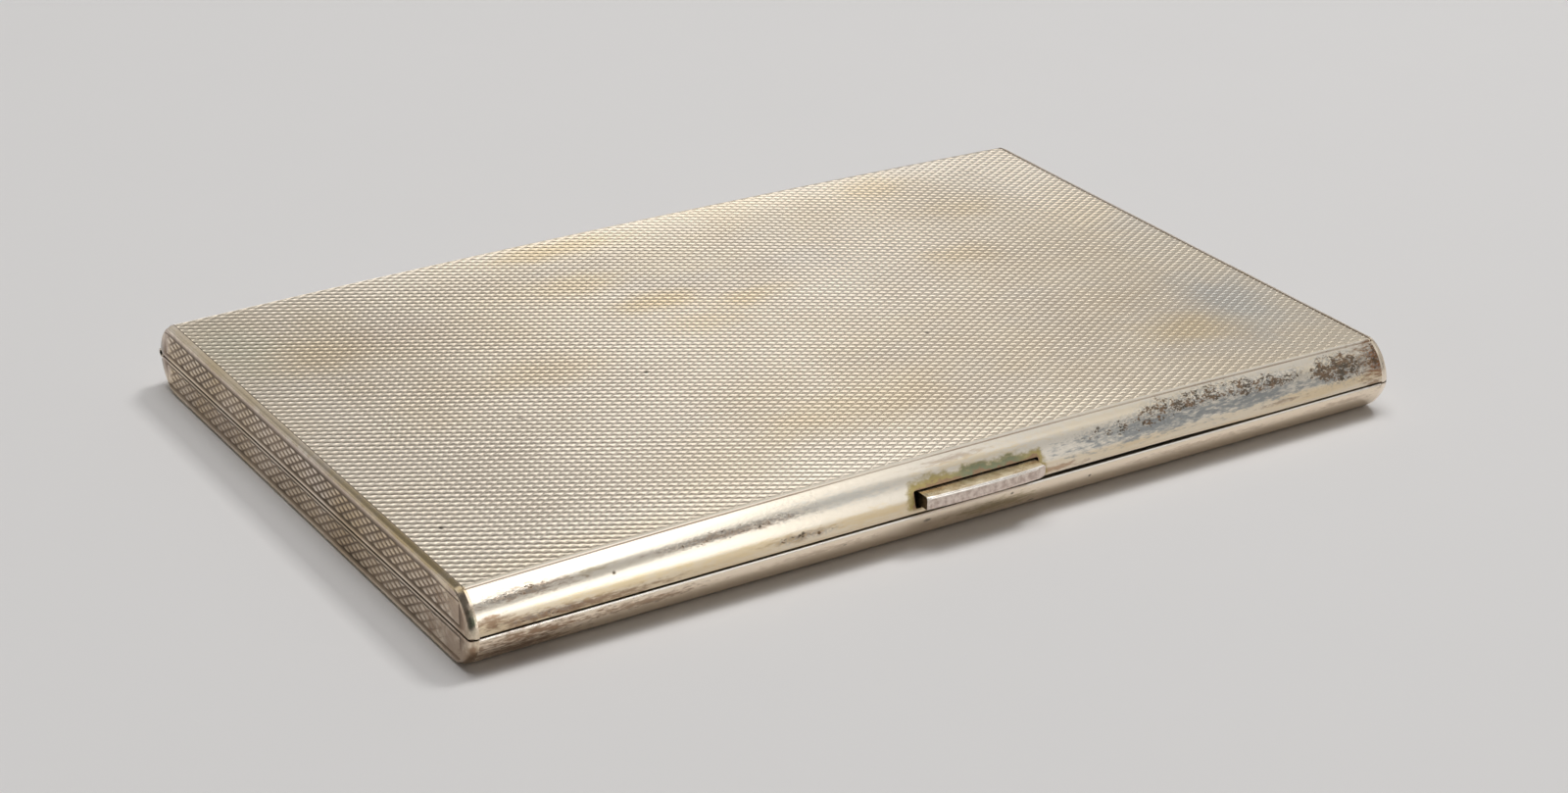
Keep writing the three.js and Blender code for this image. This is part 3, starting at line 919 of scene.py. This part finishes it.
def halfCase(name, xLow, xHigh, half, seam):
    block = addBox(name, (xLow, -frontHalf, 0), (xHigh, frontHalf, edgeDepth))
    edit(block)
    pick(block, "edges", lambda e: all(v.co.z > edgeDepth / 2 for v in e.verts)
         and abs(e.verts[0].co.x - e.verts[1].co.x) > edgeDepth / 10)
    profile = 0.5 ** (2 / caseShape["fullness"])  # the bevel tool's number for that exponent
    bevelEdges(edgeDepth, caseShape["edgeSteps"], profile=profile)
    weld()
    bpy.ops.mesh.dissolve_degenerate(threshold=slack)
    leaveEdit()
    block.scale = (1, 1, half["side"] * half["height"] / edgeDepth)
    block.location = (0, 0, seamZ)
    takeUp(block)
    applyPlace()
    edit(block)
    cutAt((0, 0, seam), (0, 0, half["side"]), clear_inner=True, use_fill=True)
    faceOutward()
    leaveEdit()
    return block


def seamCut(half, rubbed=False):  # the shells' long edges are rubbed lower than the ends
    return seamZ + half["side"] * (caseShape["seamGap"] / 2 + half["seamRub"] * rubbed)


def outerZ(half, y):  # height of the plain outside at y, before the crown
    past = max(0.0, abs(y) - flatHalf) / edgeDepth
    rise = (1 - min(1.0, past) ** caseShape["fullness"]) ** (1 / caseShape["fullness"])
    return seamZ + half["side"] * half["height"] * rise


def raiseCrown(obj):  # the lid swells along its length, most at the middle
    for vert in obj.data.vertices:
        share = (vert.co.z - seamZ) / (lidHalf["height"] - caseShape["sheet"])
        bow = 1 - min(1.0, abs(vert.co.x) / shellHalf) ** 2
        vert.co.z += min(1.0, max(0.0, share)) * caseShape["crown"] * bow


def cutHinge(obj):  # flat behind the axis so that the lid folds right back, and room for the tubes
    reach = endHalf + caseShape["rim"]
    cutAway(obj, addBox("behind the axis", (-reach, hingeY, -edgeDepth),
                        (reach, hingeY + edgeDepth, lidHigh.z + edgeDepth)))
    cutAway(obj, addRod("hinge slot", -reach, reach, hingeY, seamZ, caseShape["hingeClear"],
                        caseShape["hingeSides"]))
    edit(obj)
    pick(obj, "edges", lambda e: all(near(v.co.y, hingeY) for v in e.verts))
    bpy.ops.mesh.mark_sharp()
    leaveEdit()


def planesAt(axis, *places):  # planes across X, Y or Z, as points and normals
    normal = Vector([float(letter == axis) for letter in "XYZ"])
    return [(normal * place, normal) for place in places]


def cutFaces(obj, test, planes):
    for point, normal in planes:
        pick(obj, "faces", test)
        cutAt(point, normal)


def bothSides(*places):
    return [sign * place for place in places for sign in (1, -1)]


def sinkPanel(obj, half, ends):  # the tray that the turned face lies in, and the line round it
    side = half["side"]
    line, reach, floor = grainShape["lineY"], grainShape["lineHalf"], grainShape["lineFloor"]
    halfX, halfY, slope = grainShape["panelX"], grainShape["panelY"], grainShape["slope"]
    outside = lambda f: f.normal.z * side > 0.3 and abs(f.normal.x) < 0.05
    edges = bothSides(halfY, halfY + slope, line - reach, line - floor, line + floor, line + reach)
    cutFaces(obj, outside, planesAt("Y", *edges))
    if ends:
        shortSides = bothSides(halfX, halfX + slope, halfX + grainShape["shortSideShade"])
        cutFaces(obj, outside, planesAt("X", *shortSides))
    inPanel = lambda v: abs(v.co.x) < halfX + slack and any(outside(f) for f in v.link_faces)
    pick(obj, "verts", lambda v: abs(v.co.y) < halfY + slack and inPanel(v))
    bpy.ops.transform.translate(value=(0, 0, -side * grainShape["sink"]))
    pick(obj, "verts", lambda v: abs(abs(v.co.y) - line) < floor + slack and inPanel(v))
    bpy.ops.transform.translate(value=(0, 0, -side * grainShape["lineDepth"]))


def lipY(half):  # the painted shade in the seam begins here, behind a clean edge
    return frontHalf - half["seamEdge"] - caseShape["lip"]


def markDirtAndShade(obj, half, seam, tests):  # painted shade lies inside the seam; the tests mark dirty lines and more painted shade
    def soiledAndShaded(vert):
        x, y, z = vert.co
        # faces in the seam, behind the clean lip, take painted shade
        if abs(z - seam) < 10 * slack:
            walled = abs(y) > flatHalf or abs(x) > shellHalf - slack
            return 1.0 if walled and abs(y) < lipY(half) + 5 * slack else 0.0
        return max(amount if test(x, y, z) else 0.0 for test, amount in tests)

    groove = obj.data.attributes.new("groove", "FLOAT", "POINT")
    groove.data.foreach_set("value", [soiledAndShaded(vert) for vert in obj.data.vertices])


def onFace(half, z):
    return abs(z - seamZ) > half["height"] / 2


def inLine(half):
    reach = grainShape["lineFloor"] + slack
    return lambda x, y, z: onFace(half, z) and abs(abs(y) - grainShape["lineY"]) < reach


# the strip of painted shade along the turned face's short sides
def atShortSide(half):
    low, high = grainShape["panelX"] + grainShape["slope"], grainShape["panelX"] + grainShape["shortSideShade"]
    return lambda x, y, z: (onFace(half, z) and abs(y) < grainShape["lineY"]
                            and low - slack < abs(x) < high + slack)


def byBorder(half):
    low, high = endLines[half["body"]]
    width = grainShape["endLine"] + slack
    return lambda x, y, z: (abs(x) > caseShape["taperX"] + grainShape["slope"]
                            and abs(y) < grainShape["endPanelY"]
                            and (low - slack < z < low + width or high - width < z < high + slack))


# The shells

seamWear = {"from": 4 * mm, "full": 11 * mm, "until": 28 * mm, "to": 46 * mm, "lift": 0.22 * mm,
            "reach": 0.8 * mm}


def easeSeam(shell):  # the lid's front edge stands off a little, right of the thumbpiece
    for vert in shell.data.vertices:
        if vert.co.y > 0:
            continue
        rise = (vert.co.x - seamWear["from"]) / (seamWear["full"] - seamWear["from"])
        fall = (seamWear["to"] - vert.co.x) / (seamWear["to"] - seamWear["until"])
        along = max(0.0, min(1.0, rise, fall))
        low = max(0.0, 1 - (vert.co.z - seamCut(lidHalf, True)) / seamWear["reach"])
        vert.co.z += seamWear["lift"] * along * along * (3 - 2 * along) * min(1.0, low)


def layPanel(name, half, material):
    inset = 3 * slack

    def wear(x, y):  # rubbed a little flatter towards the edges
        edge = max(abs(x) / grainShape["panelX"], abs(y) / grainShape["panelY"])
        return 1 - max(0.0, edge - grainShape["wornFrom"])

    panel = grainField(name, grainShape["panelX"] - inset, grainShape["panelY"] - inset, wear)
    for vert in panel.data.vertices:
        vert.co.y *= half["side"]
        lift = vert.co.z - grainShape["sink"]
        vert.co.z = outerZ(half, vert.co.y) + half["side"] * lift
    setMaterials(panel, material)
    return panel


def makeWindow():  # cutter for the thumbpiece's window
    gap = thumbShape["slideGap"]
    window = addBox("window", *windowBox())
    edit(window)
    pick(window, "edges", lambda e: abs(e.verts[0].co.y - e.verts[1].co.y) > gap)
    bevelEdges(gap, 3)
    leaveEdit()
    return window


def makeShell(name, half, material, window):
    side = half["side"]
    edge = seamCut(half, True)
    shell = halfCase(name, -shellHalf, shellHalf, half, edge)
    edit(shell)
    pick(shell, "faces", lambda f: abs(f.normal.x) > 0.9 or f.normal.z * side < -0.9)
    bpy.ops.mesh.delete(type="FACE")
    sliceAlong(-shellHalf, shellHalf, caseShape["lengthSteps"])
    leaveEdit()
    setMaterials(shell, bandSilver, gilt)
    applyModifier(shell, "wall", "SOLIDIFY", thickness=caseShape["sheet"], offset=-1,
                  use_even_offset=True, material_offset=1)
    edit(shell)
    atFoot = lambda v: near(v.co.z, edge) and abs(v.co.y) > frontHalf - caseShape["sheet"] / 4
    pick(shell, "edges", lambda e: all(atFoot(v) for v in e.verts))
    bevelEdges(half["seamEdge"], half["seamSteps"])
    inSeam = lambda f: f.normal.z * side < -0.9 and near(f.calc_center_median().z, edge)
    cutFaces(shell, inSeam, planesAt("Y", *bothSides(lipY(half))))
    sinkPanel(shell, half, False)
    leaveEdit()
    panel = layPanel(name + "_turning", half, material)
    if side > 0:
        raiseCrown(shell)
        raiseCrown(panel)
    cutHinge(shell)
    if window:
        cutAway(shell, window)
    markDirtAndShade(shell, half, edge, [(inLine(half), 0.6)])
    if side > 0:
        easeSeam(shell)
    joinTo(shell, panel)
    smooth(shell)
    return shell


lidShell = makeShell("lidShell", lidHalf, turnedLid, makeWindow())
standFor(lidShell, "lid_shell", "lid")
baseShell = makeShell("baseShell", baseHalf, turnedBase, None)
standFor(baseShell, "base_shell", "base")
print("shells made")


# The end plates

def makeEnd(name, cadName, half, direction):
    inner, outer = direction * shellHalf, direction * endHalf
    seam = seamCut(half)
    plate = halfCase(name, min(inner, outer), max(inner, outer), half, seam)
    atEnd = lambda v: near(v.co.x, outer)
    edit(plate)
    cutAt((direction * caseShape["taperX"], 0, 0), (1, 0, 0))
    pick(plate, "verts", atEnd)
    shrink = [1 - caseShape["taper"] / size for size in (frontHalf, half["height"])]
    bpy.ops.transform.resize(value=(1, *shrink), center_override=(0, 0, seamZ))
    pick(plate, "edges", lambda e: all(atEnd(v) for v in e.verts)
         and any(abs(v.co.z - seam) > 10 * slack for v in e.verts))
    bevelEdges(caseShape["rim"], caseShape["rimSteps"])
    sinkPanel(plate, half, True)
    low, high = endLines[half["body"]]
    line, reach = grainShape["endLine"], grainShape["endPanelY"]
    fades = (-reach, -reach + endFade[half["body"]], reach - endFade["back"], reach)
    outside = lambda f: f.normal.x * direction > 0.9
    # the painted shade along the seam fades out by this height
    dirtAndShade = seam + half["side"] * grainShape["seamShade"]
    lines = planesAt("Z", low, low + line, high - line, high)
    cutFaces(plate, outside, lines + planesAt("Y", *fades) + planesAt("Z", dirtAndShade))
    pick(plate, "verts", lambda v: low + line - slack < v.co.z < high - line + slack
         and fades[0] + slack < v.co.y < fades[3] - slack and any(outside(f) for f in v.link_faces))
    bpy.ops.transform.translate(value=(-direction * grainShape["sink"], 0, 0))
    leaveEdit()
    cutHinge(plate)
    markDirtAndShade(plate, half, seam, [(inLine(half), 0.5), (atShortSide(half), 0.8), (byBorder(half), 1.0)])
    setMaterials(plate, endSilver)

    def depth(y):  # the panel runs out flat at its ends, rubbed away towards the front
        return max(0.0, min(1.0, (y + reach) / endFade[half["body"]], (reach - y) / endFade["back"]))

    band = grainField(name + "_turning", reach - slack, (high - low) / 2 - line - slack,
                      lambda x, y: depth(direction * x))
    for vert in band.data.vertices:
        along, up, out = vert.co
        share = depth(direction * along)
        out -= grainShape["sink"] * share + grainShape["height"] * (1 - share)
        vert.co = (direction * (endHalf + out), direction * along, (low + high) / 2 + up)
    setMaterials(band, endSilver)
    joinTo(plate, band)
    smooth(plate)
    standFor(plate, cadName, half["body"])


for half in (lidHalf, baseHalf):
    for direction, word in ((-1, "left"), (1, "right")):
        body = half["body"]
        makeEnd(f"{body}{word.title()}End", f"{body}_{word}_end", half, direction)
bpy.data.objects.remove(grainPair)
print("end plates made")


# The thumbpiece

def makeThumbpiece():
    bar = addBox("thumbBar", thumbLow, thumbHigh)
    middle = (thumbLow.x + thumbHigh.x) / 2
    half = (thumbHigh.x - thumbLow.x) / 2
    edit(bar)
    atRight = lambda e: all(near(v.co.x, thumbHigh.x) for v in e.verts)
    runsBack = lambda e: abs(e.verts[0].co.y - e.verts[1].co.y) > slack
    for level, size in ((thumbLow.z, "lowerRight"), (thumbHigh.z, "upperRight")):
        pick(bar, "edges", lambda e: atRight(e) and runsBack(e)
             and all(near(v.co.z, level) for v in e.verts))
        bevelEdges(thumbShape[size], thumbShape["roundSteps"])
    sliceAlong(thumbLow.x, thumbHigh.x, thumbShape["steps"])
    bm = bmesh.from_edit_mesh(bar.data)
    for vert in bm.verts:
        if near(vert.co.y, thumbLow.y):
            vert.co.y += thumbShape["bow"] * ((vert.co.x - middle) / half) ** 2
    bmesh.update_edit_mesh(bar.data)
    leaveEdit()
    setMaterials(bar, thumbSilver, thumbGilt, thumbShadedEnd, thumbHighlight)
    edit(bar)
    foremost = thumbLow.y + thumbShape["bow"] + slack
    pick(bar, "edges", lambda e: all(near(v.co.z, thumbHigh.z) and v.co.y < foremost for v in e.verts))
    # the front top edge takes the painted highlight
    bevelEdges(thumbShape["frontEdge"], thumbShape["frontSteps"], material=3)
    leaveEdit()
    for face in bar.data.polygons:
        # top faces take the browned gilt with painted shading
        if face.normal.z > 0.98:
            face.material_index = 1
        # left end faces take painted shade
        elif face.normal.x < -0.7:
            face.material_index = 2
    applyModifier(bar, "edges", "BEVEL", **edgeRounding(thumbShape["edge"], 40))
    smooth(bar)
    standFor(bar, "thumbpiece", "catch")


makeThumbpiece()
print("thumbpiece made")


# The hinge

knuckleShape = {"radius": 0.6 * mm, "bore": 0.37 * mm, "sides": 32, "leaf": 0.45 * mm, "rim": 0.05 * mm,
                "pinSides": 24}


def makeKnuckle(name):
    low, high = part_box("base_knuckle_1")
    sides = knuckleShape["sides"]
    tube = addRod(name, low.x, high.x, hingeY, seamZ, knuckleShape["radius"], sides, "NOTHING")
    bore = addRod("bore", low.x, high.x, hingeY, seamZ, knuckleShape["bore"], sides, "NOTHING")
    joinTo(tube, bore)
    edit(tube)
    for x in (low.x, high.x):
        pick(tube, "edges", lambda e: all(near(v.co.x, x) for v in e.verts))
        bpy.ops.mesh.bridge_edge_loops()
    faceOutward()
    leaveEdit()
    leaf = addBox("leaf", low, (high.x, hingeY - knuckleShape["bore"], low.z + knuckleShape["leaf"]))
    joinTo(tube, leaf)
    setMaterials(tube, hingeSilver)
    return tube


def makeHinge():
    master = makeKnuckle("knuckle")
    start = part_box("base_knuckle_1")[0].x
    for body, count, side in (("base", 5, 1), ("lid", 4, -1)):
        for number in range(1, count + 1):
            cadName = f"{body}_knuckle_{number}"
            knuckle = copyOf(master, f"{body}Knuckle{number}")
            knuckle.scale = (1, 1, side)
            knuckle.location = (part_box(cadName)[0].x - start, 0, seamZ * (1 - side))
            takeUp(knuckle)
            applyPlace()
            edit(knuckle)
            faceOutward()
            leaveEdit()
            applyModifier(knuckle, "rims", "BEVEL", **edgeRounding(knuckleShape["rim"]))
            smooth(knuckle)
            standFor(knuckle, cadName, body)
    bpy.data.objects.remove(master)
    radius = (pinHigh.z - pinLow.z) / 2
    pin = addRod("hingePin", pinLow.x, pinHigh.x, hingeY, seamZ, radius, knuckleShape["pinSides"])
    setMaterials(pin, pinSteel)
    applyModifier(pin, "ends", "BEVEL", **edgeRounding(radius / 2, segments=3))
    smooth(pin)
    standFor(pin, "hinge_pin", "base")


makeHinge()
print("hinge made")


# The catch springs between the lid and the thumbpiece, sliced along their length

springShape = {"steps": 30, "edge": 0.06 * mm}


def makeSprings():
    for word in ("left", "right"):
        cadName = f"catch_spring_{word}"
        low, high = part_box(cadName)
        spring = addBox(f"{word}CatchSpring", low, high)
        edit(spring)
        sliceAlong(low.x, high.x, springShape["steps"])
        leaveEdit()
        setMaterials(spring, springBrass)
        applyModifier(spring, "edges", "BEVEL", **edgeRounding(springShape["edge"]))
        smooth(spring)
        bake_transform(spring)
        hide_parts(cadName)


makeSprings()
print("springs made")


# The elastic straps

strapShape = {"cords": 9, "stepsAcross": 36, "stepsAlong": 60, "ribHeight": 0.12 * mm,
              "thickness": 0.5 * mm}


def makeStrap(body):
    cadName = f"{body}_strap"
    low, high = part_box(cadName)
    width = high.y - low.y
    deselectAll()
    bpy.ops.mesh.primitive_grid_add(x_subdivisions=strapShape["stepsAlong"], size=1,
                                    y_subdivisions=strapShape["stepsAcross"], location=(low + high) / 2)
    strap = bpy.context.object
    strap.scale = (high.x - low.x, width, 1)
    applyPlace()
    strap.name = f"{body}Strap"
    setMaterials(strap, elastic)
    applyModifier(strap, "cloth", "SOLIDIFY", thickness=strapShape["thickness"], offset=0)
    middle = (low.z + high.z) / 2
    for vert in strap.data.vertices:
        turn = 2 * math.pi * strapShape["cords"] * (vert.co.y - low.y) / width
        out = 1 if vert.co.z > middle else -1
        vert.co.z -= out * strapShape["ribHeight"] * (0.5 + 0.5 * math.cos(turn))
    smooth(strap)
    standFor(strap, cadName, body)


for body in ("base", "lid"):
    makeStrap(body)
print("straps made")


# Inner pieces keep their solids, with softened edges and a finish

innerFinish = {
    bezelGilt: ["front_bezel", "left_bezel", "right_bezel"],
    gilt: ["catch_keeper", "base_hinge_bearer", "lid_hinge_bearer", "base_strap_clip_left",
           "base_strap_clip_right", "lid_strap_clip_left", "lid_strap_clip_right", "catch_post_left",
           "catch_post_right"],
    springBrass: ["catch_rivet_left", "catch_rivet_right", "catch_hook"],
}
innerShape = {"flat": math.radians(1), "edge": 0.06 * mm}


def finishInner():
    for material, names in innerFinish.items():
        for name in names:
            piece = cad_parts[name]
            for place in piece.material_slots:
                place.material = material
            addModifier(piece, "weld", "WELD", merge_threshold=slack)
            addModifier(piece, "flats", "DECIMATE", decimate_type="DISSOLVE",
                        angle_limit=innerShape["flat"])
            addModifier(piece, "edges", "BEVEL", **edgeRounding(innerShape["edge"], 40))


finishInner()
print("inner pieces finished")


# Floor, light and camera

stageShape = {"floorHalf": 3.0, "floorTone": (0.80, 0.785, 0.775), "mottle": 0.985,
              "roomTone": (1.0, 0.985, 0.97), "roomLight": 0.12}


def makeFloor():
    deselectAll()
    bpy.ops.mesh.primitive_plane_add(size=2 * stageShape["floorHalf"], location=(0, 0, 0))
    floor = bpy.context.object
    floor.name = "paperFloor"
    material, tree, sockets = startMaterial("pale paper", Roughness=0.9)
    tone = stageShape["floorTone"]
    darker = tuple(stageShape["mottle"] * part for part in tone)
    feed(tree, sockets["Base Color"], mixColour(tree, noise(tree, 40.0, 4.0), darker, tone))
    setMaterials(floor, material)


# Place, aim, size and power; the two lamps light the paper, the metal mirrors the cards
lights = {
    "keyLight": ((0.62, 0.08, 1.22), (0, 0, 0), (0.30, 0.30), 5.2),
    "softLight": ((-0.05, 0.05, 1.60), (0, 0, 0), (0.9, 0.9), 11.8),
    "ceilingCard": ((0.26, -0.355, 0.80), (0.26, -0.355, 0), (0.32, 0.71), 1.35),
    "sideCard": ((0.77, -0.355, 0.80), (0.77, -0.355, 0), (0.70, 0.71), 0.72),
    "topCard": ((0.55, 0.30, 0.90), (0.55, 0.30, 0), (1.2, 0.6), 1.4),
    "fillCard": ((0.45, -1.25, 0.85), (0, 0, 0), (1.8, 1.2), 2.55),
    "frontCard": ((0.37, -0.90, 0.26), (0.1, 0, 0.1), (0.34, 0.38), 0.5),
    "skirtCard": ((0.60, -1.20, 0.06), (0, 0, 0.04), (2.0, 0.14), 0.6),
    "stripCard": ((0.52, 0.85, 0.47), (0, 0, 0.01), (0.30, 0.54), 0.52),
    "backWall": ((0.75, 1.10, 0.55), (0, 0, 0.1), (1.8, 1.0), 2.25),
    "leftWall": ((-0.75, 1.10, 0.55), (0, 0, 0.1), (1.0, 1.0), 1.1),
    "midWall": ((-0.17, 1.40, 0.42), (0, 0, 0.1), (0.36, 0.7), 0.3),
    "leftCeiling": ((-0.45, 0.30, 0.90), (-0.45, 0.30, 0), (0.8, 0.6), 0.9),
    "farLeftWall": ((-1.70, 0.10, 0.32), (0, 0, 0.1), (2.0, 0.5), 1.1),
    "rightWall": ((1.80, 0.10, 0.60), (0, 0, 0.1), (2.0, 1.1), 2.4),
}
lamps = ("keyLight", "softLight")
lightTurn = {"stripCard": 38}  # degrees about the aim


def makeLights():
    for name, (place, aim, size, power) in lights.items():
        light = bpy.data.lights.new(name, "AREA")
        light.shape = "RECTANGLE"
        light.size, light.size_y = size
        light.energy = power
        lightObject = bpy.data.objects.new(name, light)
        lightObject.visible_glossy = name not in lamps
        lightObject.visible_diffuse = name in lamps
        bpy.context.scene.collection.objects.link(lightObject)
        lightObject.location = place
        turn = Quaternion((0, 0, 1), math.radians(lightTurn.get(name, 0)))
        towards = (Vector(aim) - Vector(place)).to_track_quat("-Z", "Y")
        lightObject.rotation_euler = (towards @ turn).to_euler()
    world = bpy.data.worlds.new("soft room")
    bpy.context.scene.world = world
    world.use_nodes = True
    background = world.node_tree.nodes["Background"]
    feed(world.node_tree, background.inputs["Color"], stageShape["roomTone"])
    feed(world.node_tree, background.inputs["Strength"], stageShape["roomLight"])


camera = {
    "at": (-0.18425, -0.28412, 0.15951),
    "turn": (64.820, -1.184, -32.635),  # degrees
    "lens": 69.17,
    "sensor": 36.0,
}


def makeCamera():
    view = bpy.data.cameras.new("photoView")
    view.lens = camera["lens"]
    view.sensor_width = camera["sensor"]
    view.clip_start = 0.01
    viewObject = bpy.data.objects.new("photoView", view)
    bpy.context.scene.collection.objects.link(viewObject)
    viewObject.location = camera["at"]
    viewObject.rotation_euler = [math.radians(angle) for angle in camera["turn"]]
    bpy.context.scene.camera = viewObject
    bpy.context.scene.view_settings.view_transform = "Standard"


makeFloor()
makeLights()
makeCamera()
print("stage set")

deselectAll()
